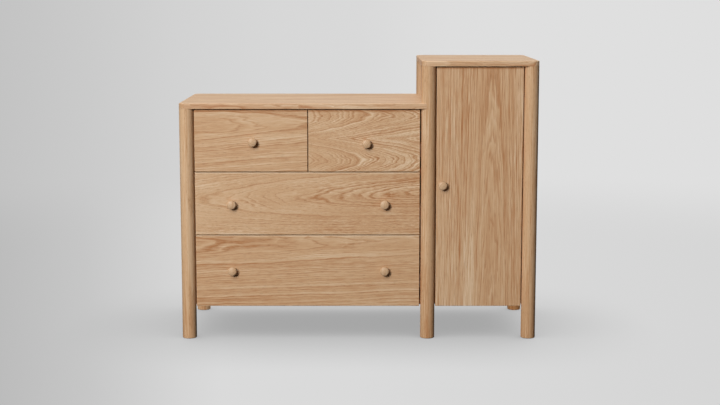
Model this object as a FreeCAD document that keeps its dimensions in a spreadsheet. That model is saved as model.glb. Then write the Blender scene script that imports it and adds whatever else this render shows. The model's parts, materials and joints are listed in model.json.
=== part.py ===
import FreeCAD, Part
import math
import os
import Sketcher

# Oak chest of drawers joined to a one-door cupboard, carried on six round posts.
# Front faces -Y, the floor is z = 0, and x and y are measured from the middle of the plan.

doc = FreeCAD.newDocument("dresser_tower")
sheet = doc.addObject("Spreadsheet::Sheet", "dims")

sizes = [
    ("overall_width", 1244, "over the outer posts"),
    ("overall_depth", 518, "over front and back posts"),
    ("front_plane", -252, "y where the front posts and tops end"),
    ("dresser_height", 828, "floor to the top of the chest"),
    ("tower_height", 974, "floor to the top of the cupboard"),
    ("middle_post_x", 241.5, "axis of the posts between chest and cupboard"),
    ("post_dia", 50, "posts"),
    ("foot_chamfer", 2, "bottom edge of each post"),
    ("top_thick", 19, "both tops"),
    ("top_round", 3, "upper edge of the tops"),
    ("top_under_round", 1, "lower edge of the tops"),
    ("panel_thick", 16, "sides, partition, bottoms and shelves"),
    ("back_thick", 10, "back panels"),
    ("groove_deep", 8, "panel grooves in the posts"),
    ("panel_foot", 117, "lower edge of sides, backs and bottoms"),
    ("front_thick", 20, "drawer fronts and door"),
    ("front_recess", 12, "fronts behind the front plane"),
    ("front_gap", 2.5, "between fronts and around them"),
    ("chest_gap", 4.5, "drawer fronts to the middle post"),
    ("hinge_gap", 3, "door to the right post"),
    ("front_ease", 2, "rounding of the fronts' edges"),
    ("under_top_gap", 3.5, "between fronts and the tops above"),
    ("fronts_low", 115, "lower edge of the lowest fronts"),
    ("lower_split", 367.4, "middle of the gap between the wide drawers"),
    ("upper_split", 588.9, "middle of the gap below the small drawers"),
    ("small_split", -176.3, "middle of the gap between the small drawers"),
    ("inner_gap", 2, "behind the drawer fronts, to rail, divider and bottom"),
    ("post_play", 0.2, "hollowed boards round the posts"),
    ("divider_thick", 18, "upright between the small drawers"),
    ("rail_thick", 18, "rail below the small drawers"),
    ("rail_deep", 60, "same rail, front to back"),
    ("box_lift", 14, "drawer box above the gap below it"),
    ("bottom_box_lift", 23, "lowest drawer box above its front's edge"),
    ("side_high", 180, "sides of the small and middle drawers"),
    ("bottom_side_high", 200, "sides of the bottom drawer"),
    ("side_thick", 14, "drawer sides"),
    ("side_end", 200, "y where the drawer sides end"),
    ("tongue_deep", 8, "sliding dovetail into the drawer front"),
    ("tongue_neck", 8, "width of the dovetail at its neck"),
    ("tongue_wide", 11, "width of the dovetail at its end"),
    ("tongue_play", 0.1, "slot wider than tongue on each side"),
    ("drawer_back_thick", 12, "drawer backs"),
    ("back_inset", 6, "drawer back from the ends of the sides"),
    ("dado_deep", 5, "drawer back into the sides"),
    ("bottom_thick", 6, "drawer bottoms"),
    ("bottom_up", 10, "drawer bottom above the sides' lower edge"),
    ("bottom_groove", 6, "depth of the groove for the drawer bottom"),
    ("bottom_play", 0.2, "drawer bottom to the end of its groove"),
    ("slide_long", 400, "telescopic slides"),
    ("slide_thick", 12.7, "telescopic slides"),
    ("slide_front", -206, "y of their front ends"),
    ("slide_up", 60, "slide axis above the drawer box's lower edge"),
    ("slide_sheet", 1.2, "steel of the slide members"),
    ("slide_play", 0.4, "between one member and the next"),
    ("cabinet_high", 45, "member on the carcass"),
    ("cabinet_deep", 9.5, "its flanges"),
    ("middle_deep", 8.9, "flanges of the middle member"),
    ("lip_high", 2.4, "turned-in lips of the slide members"),
    ("batten_high", 50, "packing battens behind the slides"),
    ("batten_front", -200, "y of their front ends"),
    ("batten_long", 410, "packing battens"),
    ("knob_dia", 31, "turned knobs"),
    ("knob_out", 19.5, "widest part of the head in front of the face"),
    ("knob_long", 26, "whole head in front of the face"),
    ("knob_rim", 4.2, "rounding of the head's rim"),
    ("knob_base", 17, "diameter where it meets the face"),
    ("knob_neck", 14, "diameter of the neck"),
    ("knob_flare", 7.5, "neck in front of the face"),
    ("knob_spigot", 10, "diameter of the spigot glued into the front"),
    ("spigot_long", 14, "same spigot"),
    ("top_left_knob_x", -368.4, "knob axes"),
    ("top_left_knob_z", 694.4, ""),
    ("top_right_knob_x", 26.4, ""),
    ("top_right_knob_z", 688.9, ""),
    ("wide_knob_half", 265.8, "knobs of the wide drawers from the small drawers' gap"),
    ("middle_knob_z", 476.4, ""),
    ("bottom_knob_z", 241.8, ""),
    ("door_knob_x", 290.4, ""),
    ("door_knob_z", 543.9, ""),
    ("shelf_low", 390, "underside of the lower shelf"),
    ("shelf_high", 665, "underside of the upper shelf"),
    ("shelf_front", -196, "y of the shelves' front edges"),
    ("shelf_play", 1, "shelf to wall"),
    ("shelf_back_play", 2, "shelf to back panel"),
    ("shelf_post_play", 1.5, "shelf to the back posts"),
    ("tower_floor_back", 10, "cupboard bottom behind the door"),
    ("pin_dia", 5, "shelf pins"),
    ("pin_in", 8, "shelf pin in the wall"),
    ("pin_out", 10, "shelf pin out of the wall"),
    ("pin_front_y", -150, "front row of shelf pins"),
    ("pin_back_y", 180, "back row of shelf pins"),
    ("hinge_edge", 13, "hinge pin from the door's edge"),
    ("hinge_in", 11, "hinge pin behind the door's face"),
    ("hinge_end", 100, "hinges from the door's ends"),
    ("hinge_round", 4, "rounding of the door's hinge-side front edge"),
    ("cup_dia", 34.8, "hinge cup"),
    ("cup_bore", 35, "hole for it in the door"),
    ("cup_deep", 13, "cup below the door's back face"),
    ("cup_bore_deep", 13.2, "hole below the door's back face"),
    ("cup_wall", 1, "sheet of the cup"),
    ("cup_offset", 8.5, "cup axis from the pin"),
    ("flange_thick", 1.2, "cup flange on the door's back face"),
    ("flange_wide", 26, "cup flange across"),
    ("flange_high", 60, "cup flange up and down"),
    ("flange_corner", 8, "rounding of its corners"),
    ("lug_half", 3.5, "half width of the lugs that hold the pin"),
    ("lug_low", 6.6, "lugs from the middle of the cup"),
    ("lug_high", 9.6, "same, outer side"),
    ("lug_top", 3.2, "lugs behind the pin"),
    ("hinge_pin_dia", 2.6, "hinge pin"),
    ("hinge_pin_play", 0.05, "arm's eye round the pin"),
    ("hinge_eye", 5.2, "outside of the arm's eye"),
    ("arm_thick", 2.5, "steel of the arm"),
    ("arm_wide", 12, "arm up and down"),
    ("arm_left", 17, "arm's first bend from the pin"),
    ("arm_back", 18, "arm's second run behind the pin"),
    ("arm_turn_x", 8, "arm's third bend"),
    ("arm_run_y", 37, "start of the arm's run along the side panel"),
    ("arm_end_y", 95, "end of that run"),
    ("plate_thick", 3, "hinge plate on the side panel"),
    ("plate_rib", 4, "rib of the plate under the arm"),
    ("plate_front_y", 46, "plate from the pin"),
    ("plate_long", 44, "plate front to back"),
    ("plate_high", 50, "plate up and down"),
    ("plate_corner", 6, "rounding of its corners"),
]

for row, (alias, value, note) in enumerate(sizes, start=1):
    sheet.set("A%d" % row, alias)
    sheet.set("B%d" % row, str(value))
    sheet.set("C%d" % row, note)
    sheet.setAlias("B%d" % row, alias)
doc.recompute()

# Lines that many pieces share
post_r = "dims.post_dia / 2"
left_x = "(dims.post_dia / 2 - dims.overall_width / 2)"
middle_x = "dims.middle_post_x"
right_x = "(dims.overall_width / 2 - dims.post_dia / 2)"
front_y = "(dims.front_plane + dims.post_dia / 2)"
back_y = "(dims.front_plane + dims.overall_depth - dims.post_dia / 2)"
dresser_under = "(dims.dresser_height - dims.top_thick)"
tower_under = "(dims.tower_height - dims.top_thick)"
face_y = "(dims.front_plane + dims.front_recess)"
rear_y = "(dims.front_plane + dims.front_recess + dims.front_thick)"
back_face = "(%s - dims.back_thick / 2)" % back_y
back_outside = "(%s + dims.back_thick / 2)" % back_y
left_wall = "(%s + dims.panel_thick / 2)" % left_x
chest_wall = "(dims.middle_post_x - dims.panel_thick / 2)"
tower_wall = "(dims.middle_post_x + dims.panel_thick / 2)"
right_wall = "(%s - dims.panel_thick / 2)" % right_x
chest_left = "(%s + dims.post_dia / 2 + dims.front_gap)" % left_x
chest_right = "(dims.middle_post_x - dims.post_dia / 2 - dims.front_gap)"
chest_middle = "((%s + %s) / 2)" % (chest_left, chest_right)
fronts_right = "(dims.middle_post_x - dims.post_dia / 2 - dims.chest_gap)"
door_left = "(dims.middle_post_x + dims.post_dia / 2 + dims.front_gap)"
door_right = "(%s - dims.post_dia / 2 - dims.hinge_gap)" % right_x
hinge_x = "(%s - dims.hinge_edge)" % door_right
hinge_y = "(%s + dims.hinge_in)" % face_y
door_high = "(%s - dims.under_top_gap)" % tower_under
hinge_heights = [
    "(dims.fronts_low + dims.hinge_end)",
    "(%s - dims.hinge_end)" % door_high,
]

nodes = []


def new_body(label):
    body = doc.addObject("PartDesign::Body", label)
    body.Label = label
    return body


def keep(piece, label):
    piece.Label = label
    nodes.append(piece)
    return piece


def put(piece, x="0", y="0", z="0"):
    piece.setExpression("Placement.Base.x", x)
    piece.setExpression("Placement.Base.y", y)
    piece.setExpression("Placement.Base.z", z)


def sketch_on(body, role, name, offset=None):
    sketch = body.newObject("Sketcher::SketchObject", name)
    for plane in body.Origin.OriginFeatures:
        if plane.Role == role:
            sketch.AttachmentSupport = [(plane, "")]
    sketch.MapMode = "FlatFace"
    if offset:
        sketch.setExpression("AttachmentOffset.Base.z", offset)
    return sketch


def fix_point(sketch, shape, end, x, y):
    across = sketch.addConstraint(Sketcher.Constraint("DistanceX", -1, 1, shape, end, 1.0))
    sketch.setExpression("Constraints[%d]" % across, x)
    along = sketch.addConstraint(Sketcher.Constraint("DistanceY", -1, 1, shape, end, 1.0))
    sketch.setExpression("Constraints[%d]" % along, y)


def outline(sketch, corners):
    # closed outline of straight lines, each corner held by its two dimensions
    first = sketch.GeometryCount
    count = len(corners)
    ring = []
    for number in range(count):
        turn = 2 * math.pi * number / count
        ring.append(FreeCAD.Vector(20 * math.cos(turn), 20 * math.sin(turn), 0))
    for number in range(count):
        sketch.addGeometry(Part.LineSegment(ring[number], ring[(number + 1) % count]), False)
    for number in range(count):
        following = first + (number + 1) % count
        sketch.addConstraint(Sketcher.Constraint("Coincident", first + number, 2, following, 1))
    for number, (x, y) in enumerate(corners):
        fix_point(sketch, first + number, 1, x, y)


def rectangle(sketch, x0, x1, y0, y1):
    outline(sketch, [(x0, y0), (x1, y0), (x1, y1), (x0, y1)])


def round_at(sketch, x, y, radius):
    number = sketch.GeometryCount
    sketch.addGeometry(Part.Circle(FreeCAD.Vector(5, 5, 0), FreeCAD.Vector(0, 0, 1), 10), False)
    fix_point(sketch, number, 3, x, y)
    size = sketch.addConstraint(Sketcher.Constraint("Radius", number, 10))
    sketch.setExpression("Constraints[%d]" % size, radius)


def pad(body, sketch, length, name, backwards=False, both_ways=False):
    feature = body.newObject("PartDesign::Pad", name)
    feature.Profile = sketch
    feature.setExpression("Length", length)
    feature.Reversed = backwards
    feature.Midplane = both_ways
    doc.recompute()
    return feature


def pocket(body, sketch, length, name, along=False, both_ways=False):
    # cuts against the sketch's normal, or along it; length None goes through all
    before = body.Shape.Volume
    feature = body.newObject("PartDesign::Pocket", name)
    feature.Profile = sketch
    if length is None:
        feature.Type = "ThroughAll"
    else:
        feature.setExpression("Length", length)
    feature.Reversed = along
    feature.Midplane = both_ways
    doc.recompute()
    if body.Shape.Volume > before - 0.5:
        raise RuntimeError("%s removes nothing" % name)
    return feature


def edges_where(shape, test):
    return ["Edge%d" % number for number, edge in enumerate(shape.Edges, start=1) if test(edge)]


def soften(body, test, size, name, kind="Fillet"):
    base = body.Tip
    picked = edges_where(base.Shape, test)
    feature = body.newObject("PartDesign::%s" % kind, name)
    feature.Base = (base, picked)
    feature.setExpression("Radius" if kind == "Fillet" else "Size", size)
    doc.recompute()
    return feature


def flat_at(edge, axis, level):
    box = edge.BoundBox
    low = getattr(box, axis + "Min")
    high = getattr(box, axis + "Max")
    return abs(low - level) < 0.001 and abs(high - level) < 0.001


def board(label, x0, x1, y0, y1, z0, z1):
    body = new_body(label)
    plan = sketch_on(body, "XY_Plane", label + "_plan")
    rectangle(plan, x0, x1, y0, y1)
    pad(body, plan, "%s - %s" % (z1, z0), label + "_board")
    put(body, z=z0)
    return body


def scoop(body, places, radius):
    # hollow corners that fit round the posts
    plan = sketch_on(body, "XY_Plane", body.Label + "_hollows")
    for x, y in places:
        round_at(plan, x, y, radius)
    pocket(body, plan, None, body.Label + "_scoop", along=True)


def copies(label, source, places):
    # several equal pieces kept as one group of separate solids
    links = []
    for number, (x, y, z, turn) in enumerate(places, start=1):
        link = doc.addObject("App::Link", "%s_%d" % (label, number))
        link.LinkedObject = source
        about_z = FreeCAD.Rotation(FreeCAD.Vector(0, 0, 1), turn)
        link.Placement = FreeCAD.Placement(FreeCAD.Vector(), about_z)
        put(link, x, y, z)
        links.append(link)
    group = doc.addObject("Part::Compound", label)
    group.Links = links
    return keep(group, label)


# Posts: round bar, chamfered foot, grooves for the panels they hold
def make_post(label, x, y, height, grooves, holds_dresser_top=False, foot="0"):
    body = new_body(label)
    plan = sketch_on(body, "XY_Plane", label + "_plan", foot)
    round_at(plan, "0", "0", post_r)
    pad(body, plan, "%s - %s" % (height, foot), label + "_bar")
    low = min(point.Z for point in body.Shape.Vertexes)
    soften(body, lambda edge: flat_at(edge, "Z", low), "dims.foot_chamfer", label + "_foot", "Chamfer")
    inner = "(%s - dims.groove_deep)" % post_r
    outer = "(%s + 1)" % post_r
    for number, (side, width, head) in enumerate(grooves, start=1):
        slot = sketch_on(body, "XY_Plane", "%s_slot_%d" % (label, number), "dims.panel_foot")
        half = "%s / 2" % width
        if side == "back":
            rectangle(slot, "-" + half, half, inner, outer)
        elif side == "front":
            rectangle(slot, "-" + half, half, "-" + outer, "-" + inner)
        elif side == "right":
            rectangle(slot, inner, outer, "-" + half, half)
        else:
            rectangle(slot, "-" + outer, "-" + inner, "-" + half, half)
        pocket(body, slot, "%s - dims.panel_foot" % head, "%s_groove_%d" % (label, number), along=True)
    if holds_dresser_top:
        seat = sketch_on(body, "XY_Plane", label + "_seat", dresser_under)
        rectangle(seat, "-" + outer, "-dims.panel_thick / 2", "-" + outer, outer)
        pocket(body, seat, "dims.top_thick", label + "_housing", along=True)
    put(body, x, y)
    return keep(body, label)


# The middle back post ends level with the panels, so the piece stands on five feet
wall = "dims.panel_thick"
thin = "dims.back_thick"
make_post("left_front_post", left_x, front_y, dresser_under, [("back", wall, dresser_under)])
make_post("left_back_post", left_x, back_y, dresser_under,
          [("front", wall, dresser_under), ("right", thin, dresser_under)])
make_post("middle_front_post", middle_x, front_y, tower_under, [("back", wall, tower_under)], True)
make_post("middle_back_post", middle_x, back_y, tower_under,
          [("front", wall, tower_under), ("left", thin, dresser_under), ("right", thin, tower_under)],
          True, "dims.panel_foot")
make_post("right_front_post", right_x, front_y, tower_under, [("back", wall, tower_under)])
make_post("right_back_post", right_x, back_y, tower_under,
          [("front", wall, tower_under), ("left", thin, tower_under)])


# Tops: corners rounded round the posts, upper and lower edges eased
def make_top(label, x0, x1, z0, round_right):
    body = board(label, x0, x1, "dims.front_plane", "dims.front_plane + dims.overall_depth",
                 z0, "%s + dims.top_thick" % z0)
    plan = body.Tip.Shape.BoundBox

    def corner(edge):
        box = edge.BoundBox
        upright = box.ZLength > 1
        at_left = abs(box.XMin - plan.XMin) < 0.001
        return upright and (at_left or round_right)

    soften(body, corner, post_r, label + "_corners")
    def rim(edge, level):
        square_end = flat_at(edge, "X", plan.XMax) and not round_right
        return flat_at(edge, "Z", level) and not square_end

    thick = float(sheet.top_thick)
    soften(body, lambda edge: rim(edge, thick), "dims.top_round", label + "_upper_edge")
    soften(body, lambda edge: rim(edge, 0), "dims.top_under_round", label + "_lower_edge")
    return keep(body, label)


make_top("dresser_top", "-dims.overall_width / 2", chest_wall, dresser_under, False)
make_top("tower_top", "(dims.middle_post_x - dims.post_dia / 2)", "dims.overall_width / 2",
         tower_under, True)

# Panels between the posts
panel_front = "(%s + dims.post_dia / 2 - dims.groove_deep)" % front_y
panel_back = "(%s - dims.post_dia / 2 + dims.groove_deep)" % back_y
keep(board("left_side_panel", "%s - dims.panel_thick / 2" % left_x, left_wall,
           panel_front, panel_back, "dims.panel_foot", dresser_under), "left_side_panel")
partition = keep(board("partition_panel", chest_wall, tower_wall,
                       panel_front, panel_back, "dims.panel_foot", tower_under), "partition_panel")
right_panel = keep(board("right_side_panel", right_wall, "%s + dims.panel_thick / 2" % right_x,
                         panel_front, panel_back, "dims.panel_foot", tower_under), "right_side_panel")

in_groove = "(dims.post_dia / 2 - dims.groove_deep)"
keep(board("dresser_back_panel", "%s + %s" % (left_x, in_groove), "%s - %s" % (middle_x, in_groove),
           back_face, back_outside, "dims.panel_foot", dresser_under), "dresser_back_panel")
keep(board("tower_back_panel", "%s + %s" % (middle_x, in_groove), "%s - %s" % (right_x, in_groove),
           back_face, back_outside, "dims.panel_foot", tower_under), "tower_back_panel")

round_posts = "%s + dims.post_play" % post_r
inner_front = "(%s + dims.inner_gap)" % rear_y
left_posts = [(left_x, front_y), (left_x, back_y)]
middle_posts = [(middle_x, front_y), (middle_x, back_y)]
right_posts = [(right_x, front_y), (right_x, back_y)]
floor_top = "(dims.panel_foot + dims.panel_thick)"
dresser_bottom = keep(board("dresser_bottom_panel", left_wall, chest_wall, inner_front, back_face,
                            "dims.panel_foot", floor_top), "dresser_bottom_panel")
scoop(dresser_bottom, left_posts + middle_posts, round_posts)
tower_bottom = keep(board("tower_bottom_panel", tower_wall, right_wall,
                          "%s + dims.tower_floor_back" % rear_y, back_face,
                          "dims.panel_foot", floor_top), "tower_bottom_panel")
scoop(tower_bottom, middle_posts + right_posts, round_posts)

# Rail and upright that part the small drawers from each other and from the drawer below
rail_low = "(dims.upper_split - dims.rail_thick / 2)"
rail_top = "(dims.upper_split + dims.rail_thick / 2)"
rail = keep(board("drawer_rail", left_wall, chest_wall, inner_front, "%s + dims.rail_deep" % inner_front,
                  rail_low, rail_top), "drawer_rail")
scoop(rail, [(left_x, front_y), (middle_x, front_y)], round_posts)
divider_left = "(%s - dims.divider_thick / 2)" % chest_middle
divider_right = "(%s + dims.divider_thick / 2)" % chest_middle
keep(board("drawer_divider", divider_left, divider_right, inner_front, back_face,
           rail_top, dresser_under), "drawer_divider")

# Drawer rows: lower edge, upper edge, box's lower edge, height of the box's sides
half_gap = "dims.front_gap / 2"
bottom_row = ("dims.fronts_low", "(dims.lower_split - %s)" % half_gap,
              "(dims.fronts_low + dims.bottom_box_lift)", "dims.bottom_side_high")
middle_row = ("(dims.lower_split + %s)" % half_gap, "(dims.upper_split - %s)" % half_gap,
              "(dims.lower_split + dims.box_lift)", "dims.side_high")
top_row = ("(dims.upper_split + %s)" % half_gap, "(%s - dims.under_top_gap)" % dresser_under,
           "(dims.upper_split + dims.box_lift)", "dims.side_high")

# Packing battens on the chest's walls, one behind each slide
battens = []
for name, row in (("bottom", bottom_row), ("middle", middle_row), ("top", top_row)):
    low = "(%s + dims.slide_up - dims.batten_high / 2)" % row[2]
    high = "(%s + dims.slide_up + dims.batten_high / 2)" % row[2]
    near = "dims.batten_front"
    far = "dims.batten_front + dims.batten_long"
    battens.append(board(name + "_left_batten", left_wall, chest_left, near, far, low, high))
    battens.append(board(name + "_right_batten", chest_right, chest_wall, near, far, low, high))
runner_battens = doc.addObject("Part::Compound", "runner_battens")
runner_battens.Links = battens
keep(runner_battens, "runner_battens")


# Telescopic slides: three nested channels of folded sheet, x from the wall to the drawer
def channel(label, corners):
    body = new_body(label)
    section = sketch_on(body, "XZ_Plane", label + "_section")
    outline(section, corners)
    pad(body, section, "dims.slide_long", label + "_length", both_ways=True)
    return body


def lipped_section(start, deep, half):
    sheet_in = "%s + dims.slide_sheet" % start
    end = "%s + %s" % (start, deep)
    lip = "%s - dims.slide_sheet" % end
    inside = "(%s - dims.slide_sheet)" % half
    lip_end = "(%s - dims.slide_sheet - dims.lip_high)" % half
    upper = [(sheet_in, inside), (lip, inside), (lip, lip_end), (end, lip_end), (end, half), (start, half)]
    lower = [(x, "-" + z) for x, z in reversed(upper)]
    return upper + lower


cabinet_half = "(dims.cabinet_high / 2)"
middle_half = "(%s - dims.slide_sheet - dims.lip_high - dims.slide_play)" % cabinet_half
drawer_half = "(%s - dims.slide_sheet - dims.lip_high - dims.slide_play)" % middle_half
middle_start = "(dims.slide_sheet + dims.slide_play)"
drawer_start = "(2 * dims.slide_sheet + 2 * dims.slide_play)"
cabinet_member = channel("cabinet_member", lipped_section("0", "dims.cabinet_deep", cabinet_half))
middle_member = channel("middle_member", lipped_section(middle_start, "dims.middle_deep", middle_half))
web = "(dims.slide_thick - dims.slide_sheet)"
flange = "(%s - dims.slide_sheet)" % drawer_half
drawer_member = channel("drawer_member", [
    ("dims.slide_thick", "-" + drawer_half), ("dims.slide_thick", drawer_half), (drawer_start, drawer_half),
    (drawer_start, flange), (web, flange), (web, "-" + flange),
    (drawer_start, "-" + flange), (drawer_start, "-" + drawer_half)])
slide_y = "(dims.slide_front + dims.slide_long / 2)"

# Turned knob: flat domed head on a short flared neck, with a spigot for the hole in the front
knob = new_body("knob")
half_section = sketch_on(knob, "XY_Plane", "knob_half_section")
rough = [FreeCAD.Vector(x, y, 0) for x, y in ((0, -26), (0, 14), (5, 14), (5, 0), (8.5, 0), (7, -7.5))]
for number in range(5):
    half_section.addGeometry(Part.LineSegment(rough[number], rough[number + 1]), False)
arcs = [((2.8, -19.5), 12.7, 0, 70.7), ((11.3, -19.5), 4.2, -67, 0), ((0, 7.1), 33.1, -90, -67)]
for (x, y), radius, first, last in arcs:
    circle = Part.Circle(FreeCAD.Vector(x, y, 0), FreeCAD.Vector(0, 0, 1), radius)
    half_section.addGeometry(Part.ArcOfCircle(circle, math.radians(first), math.radians(last)), False)
back, rim, dome = 5, 6, 7
for number in range(4):
    half_section.addConstraint(Sketcher.Constraint("Coincident", number, 2, number + 1, 1))
half_section.addConstraint(Sketcher.Constraint("Coincident", 4, 2, back, 2))
half_section.addConstraint(Sketcher.Constraint("Coincident", back, 1, rim, 2))
half_section.addConstraint(Sketcher.Constraint("Tangent", rim, 1, dome, 2))
half_section.addConstraint(Sketcher.Constraint("Coincident", dome, 1, 0, 1))
half_section.addConstraint(Sketcher.Constraint("PointOnObject", dome, 3, -2))
fix_point(half_section, 0, 1, "0", "-dims.knob_long")
fix_point(half_section, 0, 2, "0", "dims.spigot_long")
fix_point(half_section, 1, 2, "dims.knob_spigot / 2", "dims.spigot_long")
fix_point(half_section, 2, 2, "dims.knob_spigot / 2", "0")
fix_point(half_section, 3, 2, "dims.knob_base / 2", "0")
fix_point(half_section, 4, 2, "dims.knob_neck / 2", "-dims.knob_flare")
fix_point(half_section, rim, 2, "dims.knob_dia / 2", "-dims.knob_out")
for arc in (back, rim):
    level = half_section.addConstraint(Sketcher.Constraint("DistanceY", -1, 1, arc, 3, -19.5))
    half_section.setExpression("Constraints[%d]" % level, "-dims.knob_out")
rim_size = half_section.addConstraint(Sketcher.Constraint("Radius", rim, 4.2))
half_section.setExpression("Constraints[%d]" % rim_size, "dims.knob_rim")
turning = knob.newObject("PartDesign::Revolution", "knob_turning")
turning.Profile = half_section
turning.ReferenceAxis = (half_section, ["V_Axis"])
turning.Angle = 360
doc.recompute()


def knob_holes(body, places):
    # blind holes from the face for the knobs' spigots
    drill = sketch_on(body, "XZ_Plane", body.Label + "_knob_places", "dims.front_thick")
    for x, z in places:
        round_at(drill, x, z, "dims.knob_spigot / 2")
    pocket(body, drill, "dims.spigot_long", body.Label + "_knob_holes")


# Drawers: front, sides on sliding dovetails, back in dados, bottom in grooves
def make_drawer(name, x0, x1, slide_left, slide_right, row, knobs, knob_label):
    low, high, box_low, side_high = row
    box_left = "(%s + dims.slide_thick)" % slide_left
    box_right = "(%s - dims.slide_thick)" % slide_right
    inner_left = "(%s + dims.side_thick)" % box_left
    inner_right = "(%s - dims.side_thick)" % box_right
    floor_low = "(%s + dims.bottom_up)" % box_low
    floor_high = "(%s + dims.bottom_up + dims.bottom_thick)" % box_low
    back_rear = "(dims.side_end - dims.back_inset)"

    front = new_body(name + "_front")
    face = sketch_on(front, "XZ_Plane", name + "_face")
    rectangle(face, x0, x1, low, high)
    pad(front, face, "dims.front_thick", name + "_front_board")
    depth = -float(sheet.front_thick)
    soften(front, lambda edge: flat_at(edge, "Y", depth), "dims.front_ease", name + "_front_edges")
    knob_holes(front, knobs)
    slots = sketch_on(front, "XY_Plane", name + "_slots", "(%s + %s)" % (box_low, side_high))
    for outer, inward in ((box_left, "+"), (box_right, "-")):
        middle = "(%s %s dims.side_thick / 2)" % (outer, inward)
        neck_half = "(dims.tongue_neck / 2 + dims.tongue_play)"
        wide_half = "(dims.tongue_wide / 2 + dims.tongue_play)"
        deep = "-(dims.tongue_deep + dims.tongue_play)"
        outline(slots, [("%s - %s" % (middle, neck_half), "0"), ("%s - %s" % (middle, wide_half), deep),
                        ("%s + %s" % (middle, wide_half), deep), ("%s + %s" % (middle, neck_half), "0")])
    pocket(front, slots, None, name + "_dovetail_slots")
    groove = sketch_on(front, "XZ_Plane", name + "_front_groove")
    rectangle(groove, inner_left, inner_right, floor_low, floor_high)
    pocket(front, groove, "dims.bottom_groove", name + "_bottom_slot", along=True)
    put(front, y=rear_y)
    keep(front, name + "_front")

    for hand, outer, inward in (("left", box_left, "+"), ("right", box_right, "-")):
        label = "%s_%s_side" % (name, hand)
        body = new_body(label)
        inner = "(%s %s dims.side_thick)" % (outer, inward)
        middle = "(%s %s dims.side_thick / 2)" % (outer, inward)
        outward = "-" if inward == "+" else "+"
        tip = "(%s - dims.tongue_deep)" % rear_y
        plan = sketch_on(body, "XY_Plane", label + "_plan")
        outline(plan, [
            (outer, rear_y), ("%s %s dims.tongue_neck / 2" % (middle, outward), rear_y),
            ("%s %s dims.tongue_wide / 2" % (middle, outward), tip),
            ("%s %s dims.tongue_wide / 2" % (middle, inward), tip),
            ("%s %s dims.tongue_neck / 2" % (middle, inward), rear_y), (inner, rear_y),
            (inner, "dims.side_end"), (outer, "dims.side_end")])
        pad(body, plan, side_high, label + "_board")
        ledge = sketch_on(body, "XY_Plane", label + "_ledge", "dims.bottom_up + dims.bottom_thick")
        rectangle(ledge, "%s %s dims.bottom_groove" % (inner, outward), "%s %s 1" % (inner, inward),
                  rear_y, "dims.side_end + 1")
        pocket(body, ledge, "dims.bottom_thick", label + "_groove")
        housing = sketch_on(body, "XY_Plane", label + "_housing", side_high)
        rectangle(housing, "%s %s dims.dado_deep" % (inner, outward), "%s %s 1" % (inner, inward),
                  "%s - dims.drawer_back_thick" % back_rear, back_rear)
        pocket(body, housing, "%s - dims.bottom_up - dims.bottom_thick" % side_high, label + "_dado")
        put(body, z=box_low)
        keep(body, label)

    keep(board(name + "_back", "(%s - dims.dado_deep)" % inner_left, "(%s + dims.dado_deep)" % inner_right,
               "%s - dims.drawer_back_thick" % back_rear, back_rear,
               floor_high, "(%s + %s)" % (box_low, side_high)), name + "_back")

    bottom = new_body(name + "_bottom")
    sheet_plan = sketch_on(bottom, "XY_Plane", name + "_bottom_plan")
    wide_left = "(%s - dims.bottom_groove + dims.bottom_play)" % inner_left
    wide_right = "(%s + dims.bottom_groove - dims.bottom_play)" % inner_right
    lip_y = "(%s - dims.bottom_groove + dims.bottom_play)" % rear_y
    outline(sheet_plan, [
        (inner_left, lip_y), (inner_right, lip_y), (inner_right, rear_y), (wide_right, rear_y),
        (wide_right, back_rear), (wide_left, back_rear), (wide_left, rear_y), (inner_left, rear_y)])
    pad(bottom, sheet_plan, "dims.bottom_thick", name + "_bottom_sheet")
    put(bottom, z=floor_low)
    keep(bottom, name + "_bottom")

    copies(knob_label, knob, [(x, face_y, z, 0) for x, z in knobs])
    slide_z = "(%s + dims.slide_up)" % box_low
    pair = [(slide_left, slide_y, slide_z, 0), (slide_right, slide_y, slide_z, 180)]
    copies(name + "_slide_drawer_members", drawer_member, pair)
    copies(name + "_slide_middle_members", middle_member, pair)
    return pair


split_left = "(dims.small_split - %s)" % half_gap
split_right = "(dims.small_split + %s)" % half_gap
wide_knob_xs = ["(dims.small_split - dims.wide_knob_half)", "(dims.small_split + dims.wide_knob_half)"]
slides = []
slides += make_drawer("top_left_drawer", chest_left, split_left, chest_left, divider_left, top_row,
                      [("dims.top_left_knob_x", "dims.top_left_knob_z")], "top_left_drawer_knob")
slides += make_drawer("top_right_drawer", split_right, fronts_right, divider_right, chest_right, top_row,
                      [("dims.top_right_knob_x", "dims.top_right_knob_z")], "top_right_drawer_knob")
slides += make_drawer("middle_drawer", chest_left, fronts_right, chest_left, chest_right, middle_row,
                      [(x, "dims.middle_knob_z") for x in wide_knob_xs], "middle_drawer_knobs")
slides += make_drawer("bottom_drawer", chest_left, fronts_right, chest_left, chest_right, bottom_row,
                      [(x, "dims.bottom_knob_z") for x in wide_knob_xs], "bottom_drawer_knobs")
copies("slide_cabinet_members", cabinet_member, slides)

# Shelves on pins, hollowed round the back posts
for label, low in (("lower_shelf", "dims.shelf_low"), ("upper_shelf", "dims.shelf_high")):
    shelf = keep(board(label, "(%s + dims.shelf_play)" % tower_wall, "(%s - dims.shelf_play)" % right_wall,
                       "dims.shelf_front", "%s - dims.shelf_back_play" % back_face,
                       low, "(%s + dims.panel_thick)" % low), label)
    scoop(shelf, [(middle_x, back_y), (right_x, back_y)], "%s + dims.shelf_post_play" % post_r)

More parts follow.
